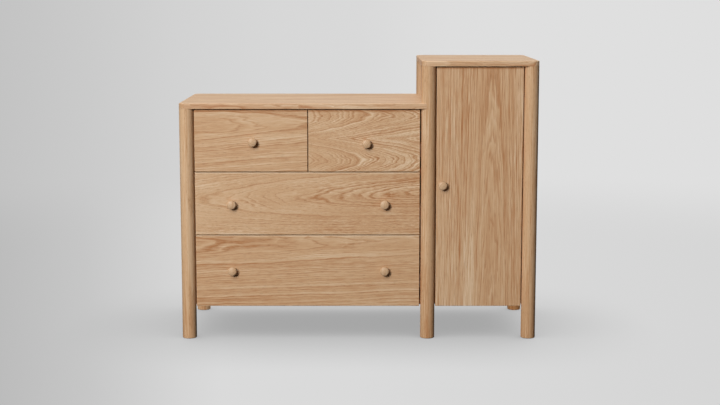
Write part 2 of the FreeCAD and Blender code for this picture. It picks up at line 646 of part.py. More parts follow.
pin_places = []
for low in ("dims.shelf_low", "dims.shelf_high"):
    for y in ("dims.pin_front_y", "dims.pin_back_y"):
        pin_places.append((y, "(%s - dims.pin_dia / 2)" % low))
for panel, wall_x, outwards in ((partition, tower_wall, False), (right_panel, right_wall, True)):
    drill = sketch_on(panel, "YZ_Plane", panel.Label + "_pin_places", wall_x)
    for y, z in pin_places:
        round_at(drill, y, "%s - dims.panel_foot" % z, "dims.pin_dia / 2")
    pocket(panel, drill, "dims.pin_in", panel.Label + "_pin_holes", along=outwards)

pin = new_body("shelf_pin")
pin_round = sketch_on(pin, "YZ_Plane", "shelf_pin_round", "-dims.pin_in")
round_at(pin_round, "0", "0", "dims.pin_dia / 2")
pad(pin, pin_round, "dims.pin_in + dims.pin_out", "shelf_pin_bar")
doc.recompute()
copies("shelf_pins", pin, [(tower_wall, y, z, 0) for y, z in pin_places] +
       [(right_wall, y, z, 180) for y, z in pin_places])

# Door: one board, hinge-side front edge rounded so that it turns clear of the post
door = new_body("door_panel")
door_face = sketch_on(door, "XZ_Plane", "door_face")
rectangle(door_face, door_left, door_right, "dims.fronts_low", door_high)
pad(door, door_face, "dims.front_thick", "door_board")
door_depth = -float(sheet.front_thick)
door_edge = door.Tip.Shape.BoundBox.XMax
soften(door, lambda edge: flat_at(edge, "Y", door_depth) and flat_at(edge, "X", door_edge),
       "dims.hinge_round", "door_hinge_edge")
soften(door, lambda edge: flat_at(edge, "Y", door_depth) and edge.BoundBox.XMin < door_edge - 10,
       "dims.front_ease", "door_edges")
knob_holes(door, [("dims.door_knob_x", "dims.door_knob_z")])
bores = sketch_on(door, "XZ_Plane", "door_cup_places")
for z in hinge_heights:
    round_at(bores, "%s - dims.cup_offset" % hinge_x, z, "dims.cup_bore / 2")
pocket(door, bores, "dims.cup_bore_deep", "door_cup_bores", along=True)
put(door, y=rear_y)
keep(door, "door_panel")
copies("door_knob", knob, [("dims.door_knob_x", face_y, "dims.door_knob_z", 0)])

# Concealed hinges, drawn about the pin: x to the post, y to the back
hinge_places = [(hinge_x, hinge_y, z, 0) for z in hinge_heights]
door_back = "(dims.front_thick - dims.hinge_in)"
cup_x = "-dims.cup_offset"
cup_floor = "(%s - dims.cup_deep + dims.cup_wall)" % door_back

cup = new_body("hinge_cup")
cup_round = sketch_on(cup, "XZ_Plane", "cup_round", "-" + door_back)
round_at(cup_round, cup_x, "0", "dims.cup_dia / 2")
pad(cup, cup_round, "dims.cup_deep", "cup_body")
cup_flange = sketch_on(cup, "XZ_Plane", "cup_flange_plan", "-" + door_back)
rectangle(cup_flange, "%s - dims.flange_wide / 2" % cup_x, "%s + dims.flange_wide / 2" % cup_x,
          "-dims.flange_high / 2", "dims.flange_high / 2")
pad(cup, cup_flange, "dims.flange_thick", "cup_flange", backwards=True)
rim_thick = float(sheet.flange_thick)
soften(cup, lambda edge: abs(edge.BoundBox.YLength - rim_thick) < 0.01 and edge.BoundBox.ZLength < 0.01,
       "dims.flange_corner", "cup_flange_corners")
cup_mouth = sketch_on(cup, "XZ_Plane", "cup_mouth", "-(%s + dims.flange_thick)" % door_back)
round_at(cup_mouth, cup_x, "0", "dims.cup_dia / 2 - dims.cup_wall")
pocket(cup, cup_mouth, "dims.cup_deep + dims.flange_thick - dims.cup_wall", "cup_hollow", along=True)
lugs = sketch_on(cup, "XZ_Plane", "cup_lug_plan", "-" + cup_floor)
rectangle(lugs, "-dims.lug_half", "dims.lug_half", "dims.lug_low", "dims.lug_high")
rectangle(lugs, "-dims.lug_half", "dims.lug_half", "-dims.lug_high", "-dims.lug_low")
pad(cup, lugs, "dims.lug_top - %s" % cup_floor, "cup_lugs", backwards=True)
eye = sketch_on(cup, "XY_Plane", "cup_eye")
round_at(eye, "0", "0", "dims.hinge_pin_dia / 2")
pocket(cup, eye, "2 * dims.lug_high", "cup_pin_holes", both_ways=True)
copies("hinge_cups", cup, hinge_places)

hinge_pin = new_body("hinge_pin")
hinge_pin_round = sketch_on(hinge_pin, "XY_Plane", "hinge_pin_round")
round_at(hinge_pin_round, "0", "0", "dims.hinge_pin_dia / 2")
pad(hinge_pin, hinge_pin_round, "2 * dims.lug_high", "hinge_pin_bar", both_ways=True)
copies("hinge_pins", hinge_pin, hinge_places)

# Arm: bent strip that leaves the cup's mouth and passes behind the post to the side panel
panel_x = "(%s - %s)" % (right_wall, hinge_x)
run_x = "(%s - dims.plate_thick - dims.plate_rib - dims.arm_thick / 2)" % panel_x
arm = new_body("hinge_arm")
arm_path = sketch_on(arm, "XY_Plane", "arm_path")
bends = [(0, 0), (-17, 0), (-17, 18), (8, 18), (24, 37), (24, 95)]
for number in range(5):
    start = FreeCAD.Vector(bends[number][0], bends[number][1], 0)
    end = FreeCAD.Vector(bends[number + 1][0], bends[number + 1][1], 0)
    arm_path.addGeometry(Part.LineSegment(start, end), False)
for number in range(4):
    arm_path.addConstraint(Sketcher.Constraint("Coincident", number, 2, number + 1, 1))
arm_path.addConstraint(Sketcher.Constraint("Coincident", 0, 1, -1, 1))
fix_point(arm_path, 0, 2, "-dims.arm_left", "0")
fix_point(arm_path, 1, 2, "-dims.arm_left", "dims.arm_back")
fix_point(arm_path, 2, 2, "dims.arm_turn_x", "dims.arm_back")
fix_point(arm_path, 3, 2, run_x, "dims.arm_run_y")
fix_point(arm_path, 4, 2, run_x, "dims.arm_end_y")
arm_section = sketch_on(arm, "YZ_Plane", "arm_section")
rectangle(arm_section, "-dims.arm_thick / 2", "dims.arm_thick / 2", "-dims.arm_wide / 2", "dims.arm_wide / 2")
strip = arm.newObject("PartDesign::AdditivePipe", "arm_strip")
strip.Profile = arm_section
strip.Spine = arm_path
strip.Transition = "Right corner"
doc.recompute()
arm_eye = sketch_on(arm, "XY_Plane", "arm_eye_round")
round_at(arm_eye, "0", "0", "dims.hinge_eye / 2")
pad(arm, arm_eye, "dims.arm_wide", "arm_eye", both_ways=True)
arm_hole = sketch_on(arm, "XY_Plane", "arm_hole_round")
round_at(arm_hole, "0", "0", "dims.hinge_pin_dia / 2 + dims.hinge_pin_play")
pocket(arm, arm_hole, "dims.arm_wide + 2", "arm_hole", both_ways=True)
copies("hinge_arms", arm, hinge_places)

plate = new_body("hinge_plate")
plate_plan = sketch_on(plate, "YZ_Plane", "plate_plan", panel_x)
plate_end = "(dims.plate_front_y + dims.plate_long)"
rectangle(plate_plan, "dims.plate_front_y", plate_end, "-dims.plate_high / 2", "dims.plate_high / 2")
pad(plate, plate_plan, "dims.plate_thick", "plate_base", backwards=True)
soften(plate, lambda edge: edge.BoundBox.XLength > 1, "dims.plate_corner", "plate_corners")
rib_plan = sketch_on(plate, "YZ_Plane", "rib_plan", "%s - dims.plate_thick" % panel_x)
rectangle(rib_plan, "dims.plate_front_y", plate_end, "-dims.arm_wide / 2", "dims.arm_wide / 2")
pad(plate, rib_plan, "dims.plate_rib", "plate_rib", backwards=True)
copies("hinge_plates", plate, hinge_places)

doc.recompute()
for item in doc.Objects:
    if "Invalid" in item.State or "Error" in item.State:
        raise RuntimeError("%s failed: %s" % (item.Label, item.State))
for piece in nodes:
    if piece.Shape.isNull() or not piece.Shape.isValid():
        raise RuntimeError("%s has no valid shape" % piece.Label)

os.makedirs("parts", exist_ok=True)
for piece in nodes:
    piece.Shape.exportStep("parts/%s.step" % piece.Label)
    print("%-36s %3d solids %12.1f mm3" % (piece.Label, len(piece.Shape.Solids), piece.Shape.Volume))
print(len(nodes), "pieces")
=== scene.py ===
import json
import math
import random
import bpy
from mathutils import Matrix, Vector


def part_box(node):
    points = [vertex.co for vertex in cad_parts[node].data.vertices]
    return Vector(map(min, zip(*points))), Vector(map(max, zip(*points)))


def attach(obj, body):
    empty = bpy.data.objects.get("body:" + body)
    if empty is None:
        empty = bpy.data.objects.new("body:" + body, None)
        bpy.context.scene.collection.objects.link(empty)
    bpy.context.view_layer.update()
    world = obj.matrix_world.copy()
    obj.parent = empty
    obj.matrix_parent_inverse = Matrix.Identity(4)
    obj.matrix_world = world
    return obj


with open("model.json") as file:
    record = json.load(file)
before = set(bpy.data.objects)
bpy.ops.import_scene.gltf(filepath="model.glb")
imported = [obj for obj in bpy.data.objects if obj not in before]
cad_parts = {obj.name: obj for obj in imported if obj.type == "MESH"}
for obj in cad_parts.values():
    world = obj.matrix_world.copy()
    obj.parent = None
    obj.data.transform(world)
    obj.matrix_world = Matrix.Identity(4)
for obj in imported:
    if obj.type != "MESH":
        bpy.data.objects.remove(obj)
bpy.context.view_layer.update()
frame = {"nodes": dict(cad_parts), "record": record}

scene = bpy.context.scene
scene.view_settings.view_transform = "Standard"
random.seed(7)  # for the turns of the screws


def toLinear(hexColour):  # sRGB hex to the linear colour that shaders take
    channels = [int(hexColour[place:place + 2], 16) / 255 for place in (1, 3, 5)]
    linear = [c / 12.92 if c <= 0.04045 else ((c + 0.055) / 1.055) ** 2.4 for c in channels]
    return (*linear, 1.0)


def addNode(tree, kind, settings=None, inputs=None):
    node = tree.nodes.new(kind)
    for name, value in (settings or {}).items():
        setattr(node, name, value)
    for name, value in (inputs or {}).items():
        if isinstance(value, bpy.types.Node):  # a node stands for its first output
            value = value.outputs[0]
        if isinstance(value, bpy.types.NodeSocket):
            tree.links.new(value, node.inputs[name])
        else:
            node.inputs[name].default_value = value
    return node


def newMaterial(name):
    material = bpy.data.materials.new(name)
    material.use_nodes = True
    material.node_tree.nodes.clear()
    return material, material.node_tree


def fillRamp(node, stops):
    ramp = node.color_ramp
    while len(ramp.elements) < len(stops):
        ramp.elements.new(0.5)
    for element, (place, colour) in zip(ramp.elements, stops):
        element.position = place
        element.color = toLinear(colour) if isinstance(colour, str) else (colour, colour, colour, 1)


def dress(node, material):
    mesh = frame["nodes"][node].data
    mesh.materials.clear()
    mesh.materials.append(material)


# Oiled oak, sawn and sanded: pale latewood between brown open-pored earlywood lines, which run as
# long flames where the saw passed near the heart of the log and as straight lines elsewhere.
# Each board is cut from its own log: X runs along the log and the rings are circles round it.
# Real rings are 1 to 3 mm apart; they are drawn 3 to 6 mm apart so that they show in the picture.
oak = {
    "dark": "#ab764b", "middle": "#c8a37d", "pale": "#dcc3a4", "pore": "#8e6440",
    "darkAt": 0.12, "middleAt": 0.5, "paleAt": 0.88,  # shades that have these colours
    # the noises: length along the grain and width across it in mm, and detail
    "slow": (340, 70, 2), "quick": (60, 14, 2),  # wander and tremble of the rings
    "band": (450, 34, 2),  # tone of whole groups of fibres
    "fibre": (200, 1.6, 3),  # real fibres are finer, drawn about half a pixel wide
    "streak": (120, 3.2, 2),  # brown streaks where the earlywood comes up
    "pores": (14, 1.1, 1),  # real pores are 0.3 mm wide, drawn coarser
    "patches": (350, 60, 1),  # where the figure is strong and where it is faint
    "uneven": 0.6,
    "ring": 5.2, "wander": 10, "tremble": 3,  # mm
    "yearScale": 0.45, "yearDetail": 3, "yearUneven": 0.65, "yearShift": 2.0,  # good and poor years
    "season": [(0.0, 0.35), (0.12, 0.0), (0.32, 0.5), (0.7, 0.75), (0.9, 1.0), (1.0, 0.35)],
    "patchFrom": 0.35, "patchTo": 0.65, "faint": 0.6, "strong": 1.3,
    "yearShare": 0.45, "ringShare": 0.32, "fibreShare": 0.9, "bandShare": 0.5,
    "streakFrom": 0.54, "streakTo": 0.74, "streakShare": 0.16,
    "poreFrom": 0.54, "poreTo": 0.7, "poreShare": 0.7,
    "footHigh": 300, "sapFull": 0.35, "arrisFull": 0.4, "faceTurn": 0.5,
    "roughness": 0.55, "smoother": 0.06, "rougher": 0.1, "ior": 1.5, "specular": 0.25,
    "bump": 0.12, "bumpDeep": 0.6,  # mm
}

# How each oak board lies in its log and what it shows:
# along, face: the way its grain runs and the way its show face looks (y where not given)
# heart, lean, rise: where the heart of the log passes (mm from the board's middle), and how far the
# log leans out of the board and rises in it (degrees)
# ring, wander, flutes, length: ring spacing and wander (mm), period and height of the flutes of the
# log (mm), and how much longer than usual its marks are
# shade, drift, tone: how light it is, how that changes along it (per metre), and a plain factor
# figure, swell, rings, fibres, bands: how strong its marks are, how that changes along it, and the
# shares of rings, fibres and groups of fibres
# arris, edges, foot: how much paler (a painted highlight) or darker (a painted shadow under an
# overhanging top) the top of its face is drawn and how far down (mm), how much darker its edges are
# drawn than its show face (painted light and shade), and how much darker it is drawn near the floor
# (painted shade)
# seam, sap: place of a glued joint and the other board's place in the log (mm), and how pale, how
# wide and how high (mm) the sapwood beside it is
frontPost = {"along": "z", "rings": 0.5, "fibres": 3.0, "bands": 1.2, "specular": 0.06, "foot": 0.17}
knob = {"along": "y", "figure": 0.6, "shade": 0.56, "tone": 0.97, "roughness": 0.4}
boards = {
    # the tops are drawn paler on their upper face than on their edges: painted light from above
    "dresser_top": {
        "along": "x", "face": "z", "heart": (0, -60, -48), "lean": 1.2, "wander": 14, "shade": 0.53,
        "figure": 1.25, "bands": 2.2, "edges": 0.12, "specular": 0.5},
    "tower_top": {
        "along": "x", "face": "z", "heart": (0, 70, -45), "lean": 1.5, "wander": 14, "shade": 0.55,
        "figure": 1.25, "bands": 2.2, "edges": 0.08, "specular": 0.5},
    # the arris of the top drawers and the door is a painted shadow under the overhanging tops; that of the middle
    # and bottom drawers is a painted highlight on their upper edge
    "top_left_drawer_front": {
        "along": "x", "heart": (0, 60, 62), "lean": 2.0, "rise": -3, "wander": 14, "length": 1.6,
        "shade": 0.48, "arris": (-0.3, 10)},
    "top_right_drawer_front": {
        "along": "x", "heart": (0, 1500, -66.7), "lean": -9.9, "ring": 4.2, "wander": 12,
        "flutes": (150.7, 52), "figure": 0.85, "swell": 1.5, "rings": 1.25, "fibres": 0.8,
        "arris": (-0.3, 10)},
    "middle_drawer_front": {
        "along": "x", "heart": (0, 43, 26), "lean": -4.9, "rise": -2, "shade": 0.483, "drift": -0.25,
        "figure": 0.95, "swell": 0.7, "arris": (0.4, 4.5)},
    "bottom_drawer_front": {
        "along": "x", "heart": (0, 60, 105), "lean": 2.0, "rise": -1.2, "ring": 6.2, "wander": 13,
        "length": 1.3, "shade": 0.455, "drift": 0.04, "arris": (0.4, 4.5)},
    "door_panel": {
        "along": "z", "heart": (43, 80, 0), "lean": 1.0, "ring": 3.4, "wander": 6, "length": 2.6,
        "shade": 0.455, "drift": -0.04, "figure": 1.15, "rings": 0.9, "fibres": 1.5, "bands": 0.8,
        "arris": (-0.25, 8), "seam": (366, (-400, 150, 120)), "sap": (0.36, 50, 560)},
    "left_front_post": {
        **frontPost, "heart": (-36, 70, 0), "lean": 0.5, "shade": 0.585, "tone": 1.04, "figure": 0.5},
    "middle_front_post": {
        **frontPost, "heart": (50, 60, 0), "lean": 0.5, "shade": 0.51, "tone": 1.02, "figure": 0.55},
    "right_front_post": {
        **frontPost, "heart": (-60, 60, 0), "lean": -0.5, "shade": 0.53, "tone": 1.03, "figure": 0.55},
    # painted light and shade: drawn paler overall and darker near the floor, for how its foot in sight is lit
    "left_back_post": {
        "along": "z", "heart": (60, 50, 0), "lean": 1, "tone": 1.12, "foot": 0.15, "specular": 0.06},
    # painted shade: this post is drawn darker, for the shade on the tower's left side above the dresser
    "middle_back_post": {"along": "z", "heart": (60, -50, 0), "lean": 1, "shade": 0.56, "tone": 0.74},
    "right_back_post": {"along": "z", "heart": (40, 70, 0), "lean": -1, "specular": 0.06},
    "left_side_panel": {"along": "z", "face": "x", "heart": (60, 60, 0), "lean": 2},
    # painted shade: drawn darker, which also darkens the line where it meets the front post
    "partition_panel": {"along": "z", "face": "x", "heart": (60, -40, 0), "lean": 2, "tone": 0.8},
    "right_side_panel": {"along": "z", "face": "x", "heart": (-50, 30, 0), "lean": -2},
    "dresser_back_panel": {"along": "z", "heart": (-120, -50, 0), "lean": 2},
    "tower_back_panel": {"along": "z", "heart": (20, -50, 0), "lean": -2},
    "dresser_bottom_panel": {"along": "x", "face": "z", "heart": (0, 40, 90), "lean": 2},
    "tower_bottom_panel": {"along": "x", "face": "z", "heart": (0, -30, 90), "lean": 2},
    "lower_shelf": {"along": "x", "face": "z", "heart": (0, 60, -70), "lean": 3},
    "upper_shelf": {"along": "x", "face": "z", "heart": (0, -50, -80), "lean": -3},
    "drawer_rail": {"along": "x", "heart": (0, 60, 70), "lean": 2},
    "drawer_divider": {"along": "y", "face": "x", "heart": (60, 0, 40), "lean": 2},
    "top_left_drawer_knob": {**knob, "heart": (25, 0, 30)},
    "top_right_drawer_knob": {**knob, "heart": (-30, 0, 25)},
    "middle_drawer_knobs": {**knob, "heart": (30, 0, -40)},
    "bottom_drawer_knobs": {**knob, "heart": (40, 0, 30)},
    "door_knob": {**knob, "heart": (25, 0, -30)},
}


def grainTurn(board):  # degrees that lay the log along the board
    lean = board.get("lean", 0)
    rise = board.get("rise", 0)
    side = board.get("face", "y")
    if board["along"] == "x":
        return (0, rise, lean) if side == "y" else (0, lean, rise)
    if board["along"] == "y":
        return (0, rise, 90 + lean)
    return (0, lean - 90, 90) if side == "y" else (0, lean - 90, 0)


def oakMaterial(node, board):
    material, tree = newMaterial("oiled oak " + node)
    low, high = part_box(node)
    place = addNode(tree, "ShaderNodeTexCoord")
    spot = addNode(tree, "ShaderNodeSeparateXYZ", {}, {"Vector": place.outputs["Object"]})
    log = addNode(tree, "ShaderNodeMapping", {"vector_type": "TEXTURE"}, {
        "Vector": place.outputs["Object"], "Location": (low + high) / 2 + Vector(board["heart"]) / 1000,
        "Rotation": [math.radians(angle) for angle in grainTurn(board)]})
    if "seam" in board:  # two boards glued side by side, the left one from another place in the log
        seam, shift = board["seam"]
        left = addNode(tree, "ShaderNodeMath", {"operation": "LESS_THAN"}, {
            0: spot.outputs["X"], 1: seam / 1000})
        log = addNode(tree, "ShaderNodeVectorMath", {"operation": "MULTIPLY_ADD"}, {
            0: left, 1: Vector(shift) / 1000, 2: log})
    noise = {}
    for name in ("slow", "quick", "band", "fibre", "streak", "pores", "patches"):
        long, across, detail = oak[name]
        drawn = addNode(tree, "ShaderNodeMapping", {}, {
            "Vector": log, "Scale": (1000 / (long * board.get("length", 1.0)), 1000 / across, 1000 / across)})
        noise[name] = addNode(tree, "ShaderNodeTexNoise", {}, {
            "Vector": drawn, "Scale": 1.0, "Detail": detail, "Roughness": oak["uneven"]})

    # distance from the heart, bent by the wander and by the flutes of the log
    section = addNode(tree, "ShaderNodeVectorMath", {"operation": "MULTIPLY"}, {0: log, 1: (0, 1, 1)})
    radius = addNode(tree, "ShaderNodeVectorMath", {"operation": "LENGTH"}, {0: section})
    depth = addNode(tree, "ShaderNodeMath", {"operation": "MULTIPLY_ADD"}, {
        0: noise["slow"], 1: 2 * board.get("wander", oak["wander"]) / 1000, 2: radius.outputs["Value"]})
    depth = addNode(tree, "ShaderNodeMath", {"operation": "MULTIPLY_ADD"}, {
        0: noise["quick"], 1: 2 * oak["tremble"] / 1000, 2: depth})
    axes = addNode(tree, "ShaderNodeSeparateXYZ", {}, {"Vector": log})
    if "flutes" in board:
        period, height = board["flutes"]
        turned = addNode(tree, "ShaderNodeMath", {"operation": "MULTIPLY"}, {
            0: axes.outputs["Z"], 1: 1000 * math.pi / period})
        wave = addNode(tree, "ShaderNodeMath", {"operation": "COSINE"}, {0: turned})
        flute = addNode(tree, "ShaderNodeMath", {"operation": "ABSOLUTE"}, {0: wave})
        depth = addNode(tree, "ShaderNodeMath", {"operation": "MULTIPLY_ADD"}, {
            0: flute, 1: height / 1000, 2: depth})

    # years counted from the heart, each with its own tone, and the season within the year
    years = addNode(tree, "ShaderNodeMath", {"operation": "DIVIDE"}, {
        0: depth, 1: board.get("ring", oak["ring"]) / 1000})
    yearTone = addNode(tree, "ShaderNodeTexNoise", {"noise_dimensions": "1D"}, {
        "W": years, "Scale": oak["yearScale"], "Detail": oak["yearDetail"], "Roughness": oak["yearUneven"]})
    shifted = addNode(tree, "ShaderNodeMath", {"operation": "MULTIPLY_ADD"}, {
        0: yearTone, 1: oak["yearShift"], 2: years})
    season = addNode(tree, "ShaderNodeMath", {"operation": "FRACT"}, {0: shifted})
    growth = addNode(tree, "ShaderNodeValToRGB", {}, {"Fac": season})
    fillRamp(growth, oak["season"])

    # how strongly the marks show here, and the shade that they add up to
    figure = board.get("figure", 1.0)
    showing = addNode(tree, "ShaderNodeMapRange", {}, {
        "Value": noise["patches"], "From Min": oak["patchFrom"], "From Max": oak["patchTo"],
        "To Min": oak["faint"] * figure, "To Max": oak["strong"] * figure})
    if "swell" in board:
        showing = addNode(tree, "ShaderNodeMath", {"operation": "MULTIPLY_ADD"}, {
            0: axes.outputs["X"], 1: board["swell"], 2: showing})
    shade = board.get("shade", 0.5)
    if "drift" in board:
        shade = addNode(tree, "ShaderNodeMath", {"operation": "MULTIPLY_ADD"}, {
            0: axes.outputs["X"], 1: board["drift"], 2: shade})
    rings, fibres = board.get("rings", 1.0), board.get("fibres", 1.0)
    marks = ((yearTone, oak["yearShare"] * rings), (growth, oak["ringShare"] * rings),
             (noise["fibre"], oak["fibreShare"] * fibres),
             (noise["band"], oak["bandShare"] * board.get("bands", fibres)))
    for mark, share in marks:
        centred = addNode(tree, "ShaderNodeMath", {"operation": "SUBTRACT"}, {0: mark, 1: 0.5})
        shown = addNode(tree, "ShaderNodeMath", {"operation": "MULTIPLY"}, {0: centred, 1: showing})
        shade = addNode(tree, "ShaderNodeMath", {"operation": "MULTIPLY_ADD"}, {0: shown, 1: share, 2: shade})
    lines = addNode(tree, "ShaderNodeMapRange", {"interpolation_type": "SMOOTHSTEP"}, {
        "Value": noise["streak"], "From Min": oak["streakFrom"], "From Max": oak["streakTo"],
        "To Max": -oak["streakShare"] * fibres})
    shade = addNode(tree, "ShaderNodeMath", {"operation": "MULTIPLY_ADD"}, {0: lines, 1: showing, 2: shade})

    if "foot" in board:  # painted shade: drawn darker where a leg nears the floor
        paintedFloorShade = addNode(tree, "ShaderNodeMapRange", {}, {
            "Value": spot.outputs["Z"], "From Max": oak["footHigh"] / 1000,
            "To Min": -board["foot"], "To Max": 0.0})
        shade = addNode(tree, "ShaderNodeMath", {"operation": "ADD"}, {0: shade, 1: paintedFloorShade})
    if "sap" in board:  # a pale strip of sapwood right of the seam, lost further up
        amount, wide, top = board["sap"]
        strip = addNode(tree, "ShaderNodeMapRange", {}, {
            "Value": spot.outputs["X"], "From Min": (seam + wide * oak["sapFull"]) / 1000,
            "From Max": (seam + wide) / 1000, "To Min": 1.0, "To Max": 0.0})
        rising = addNode(tree, "ShaderNodeMapRange", {}, {
            "Value": spot.outputs["Z"], "From Min": low.z, "From Max": top / 1000,
            "To Min": amount, "To Max": 0.0})
        right = addNode(tree, "ShaderNodeMath", {"operation": "SUBTRACT"}, {0: 1.0, 1: left})
        beside = addNode(tree, "ShaderNodeMath", {"operation": "MULTIPLY"}, {0: right, 1: strip})
        shade = addNode(tree, "ShaderNodeMath", {"operation": "MULTIPLY_ADD"}, {0: rising, 1: beside, 2: shade})
    if "arris" in board or "edges" in board:  # how far the surface looks the way of the show face
        facing = addNode(tree, "ShaderNodeSeparateXYZ", {}, {"Vector": place.outputs["Normal"]})
        outward = addNode(tree, "ShaderNodeMath", {"operation": "ABSOLUTE"}, {
            0: facing.outputs[board.get("face", "y").upper()]})
    if "arris" in board:  # the top of the face: a painted highlight where a rounded edge would catch the light (amount above 0), or a painted shadow under an overhanging top (below 0)
        amount, reach = board["arris"]
        paintedTopBand = addNode(tree, "ShaderNodeMapRange", {}, {
            "Value": spot.outputs["Z"], "From Min": high.z - reach / 1000,
            "From Max": high.z - reach * oak["arrisFull"] / 1000, "To Max": amount})
        face = addNode(tree, "ShaderNodeMath", {"operation": "GREATER_THAN"}, {0: outward, 1: oak["faceTurn"]})
        shade = addNode(tree, "ShaderNodeMath", {"operation": "MULTIPLY_ADD"}, {0: paintedTopBand, 1: face, 2: shade})
    if "edges" in board:  # painted light and shade: the edges are drawn darker than the show face, which is drawn paler for the light it gets from above
        edge = addNode(tree, "ShaderNodeMath", {"operation": "LESS_THAN"}, {0: outward, 1: oak["faceTurn"]})
        shade = addNode(tree, "ShaderNodeMath", {"operation": "MULTIPLY_ADD"}, {
            0: edge, 1: -board["edges"], 2: shade})
    wood = addNode(tree, "ShaderNodeValToRGB", {}, {"Fac": shade})
    fillRamp(wood, [(oak[name + "At"], oak[name]) for name in ("dark", "middle", "pale")])

    # open pores in the earlywood
    early = addNode(tree, "ShaderNodeMath", {"operation": "SUBTRACT"}, {0: 1.0, 1: growth})
    dots = addNode(tree, "ShaderNodeMapRange", {"interpolation_type": "SMOOTHSTEP"}, {
        "Value": noise["pores"], "From Min": oak["poreFrom"], "From Max": oak["poreTo"],
        "To Max": oak["poreShare"]})
    holes = addNode(tree, "ShaderNodeMath", {"operation": "MULTIPLY"}, {0: dots, 1: early})
    colour = addNode(tree, "ShaderNodeMix", {"data_type": "RGBA"}, {
        "Factor": holes, 6: wood, 7: toLinear(oak["pore"])}).outputs[2]
    if "tone" in board:
        colour = addNode(tree, "ShaderNodeVectorMath", {"operation": "SCALE"}, {0: colour, "Scale": board["tone"]})

    rough = board.get("roughness", oak["roughness"])
    gloss = addNode(tree, "ShaderNodeMapRange", {}, {
        "Value": noise["fibre"], "To Min": rough - oak["smoother"], "To Max": rough + oak["rougher"]})
    relief = addNode(tree, "ShaderNodeMath", {"operation": "MULTIPLY_ADD"}, {0: holes, 1: -1.0, 2: shade})
    bump = addNode(tree, "ShaderNodeBump", {}, {
        "Strength": oak["bump"], "Distance": oak["bumpDeep"] / 1000, "Height": relief})
    surface = addNode(tree, "ShaderNodeBsdfPrincipled", {}, {
        "Base Color": colour, "Roughness": gloss, "IOR": oak["ior"],
        "Specular IOR Level": board.get("specular", oak["specular"]), "Normal": bump})
    addNode(tree, "ShaderNodeOutputMaterial", {}, {"Surface": surface})
    return material


for node, board in boards.items():
    dress(node, oakMaterial(node, board))
print("oak boards:", len(boards))

# Birch plywood and battens, lacquered matt: almost white wood with a faint fine grain (mm)
birch = {"dark": "#d3b891", "pale": "#e4cfae", "darkAt": 0.3, "paleAt": 0.7,
         "grainLong": 160, "grainAcross": 6, "detail": 4, "uneven": 0.6,
         "roughness": 0.5, "smoother": 0.05, "rougher": 0.08, "ior": 1.5, "bump": 0.08, "bumpDeep": 0.4}


def birchMaterial(name, along):
    material, tree = newMaterial(name)
    place = addNode(tree, "ShaderNodeTexCoord")
    size = [birch["grainAcross"]] * 3
    size["xyz".index(along)] = birch["grainLong"]
    grain = addNode(tree, "ShaderNodeMapping", {}, {
        "Vector": place.outputs["Object"], "Scale": [1000 / length for length in size]})
    noise = addNode(tree, "ShaderNodeTexNoise", {}, {
        "Vector": grain, "Scale": 1.0, "Detail": birch["detail"], "Roughness": birch["uneven"]})
    colour = addNode(tree, "ShaderNodeValToRGB", {}, {"Fac": noise})
    fillRamp(colour, [(birch["darkAt"], birch["dark"]), (birch["paleAt"], birch["pale"])])
    gloss = addNode(tree, "ShaderNodeMapRange", {}, {
        "Value": noise, "To Min": birch["roughness"] - birch["smoother"],
        "To Max": birch["roughness"] + birch["rougher"]})
    bump = addNode(tree, "ShaderNodeBump", {}, {
        "Strength": birch["bump"], "Distance": birch["bumpDeep"] / 1000, "Height": noise})
    surface = addNode(tree, "ShaderNodeBsdfPrincipled", {}, {
        "Base Color": colour, "Roughness": gloss, "IOR": birch["ior"], "Normal": bump})
    addNode(tree, "ShaderNodeOutputMaterial", {}, {"Surface": surface})
    return material


# Zinc-plated sheet steel, rolled and folded: cool grey, softly mirroring, drawn along its length (mm)
zinc = {"dark": "#9a9da1", "pale": "#c3c6c9", "darkAt": 0.3, "paleAt": 0.7,
        "streakLong": 120, "streakAcross": 2, "detail": 3,
        "roughness": 0.32, "smoother": 0.08, "rougher": 0.12, "bump": 0.05, "bumpDeep": 0.2}


def zincMaterial(name):
    material, tree = newMaterial(name)
    place = addNode(tree, "ShaderNodeTexCoord")
    rolled = addNode(tree, "ShaderNodeMapping", {}, {
        "Vector": place.outputs["Object"],
        "Scale": (1000 / zinc["streakAcross"], 1000 / zinc["streakLong"], 1000 / zinc["streakAcross"])})
    streak = addNode(tree, "ShaderNodeTexNoise", {}, {
        "Vector": rolled, "Scale": 1.0, "Detail": zinc["detail"]})
    colour = addNode(tree, "ShaderNodeValToRGB", {}, {"Fac": streak})
    fillRamp(colour, [(zinc["darkAt"], zinc["dark"]), (zinc["paleAt"], zinc["pale"])])
    gloss = addNode(tree, "ShaderNodeMapRange", {}, {
        "Value": streak, "To Min": zinc["roughness"] - zinc["smoother"],
        "To Max": zinc["roughness"] + zinc["rougher"]})
    bump = addNode(tree, "ShaderNodeBump", {}, {
        "Strength": zinc["bump"], "Distance": zinc["bumpDeep"] / 1000, "Height": streak})
    surface = addNode(tree, "ShaderNodeBsdfPrincipled", {}, {
        "Base Color": colour, "Metallic": 1.0, "Roughness": gloss, "Normal": bump})
    addNode(tree, "ShaderNodeOutputMaterial", {}, {"Surface": surface})
    return material


birchAlong = {way: birchMaterial("lacquered birch along " + way, way) for way in "xy"}
zincSteel = zincMaterial("zinc-plated steel")
for row in frame["record"]["subparts"]:
    node = row["node"]
    if row["material_slot"] == "steel":
        dress(node, zincSteel)
    elif row["material_slot"] == "drawer_wood":
        acrossBox = node.endswith(("_back", "_bottom"))
        dress(node, birchAlong["x" if acrossBox else "y"])
print("birch and steel nodes dressed")

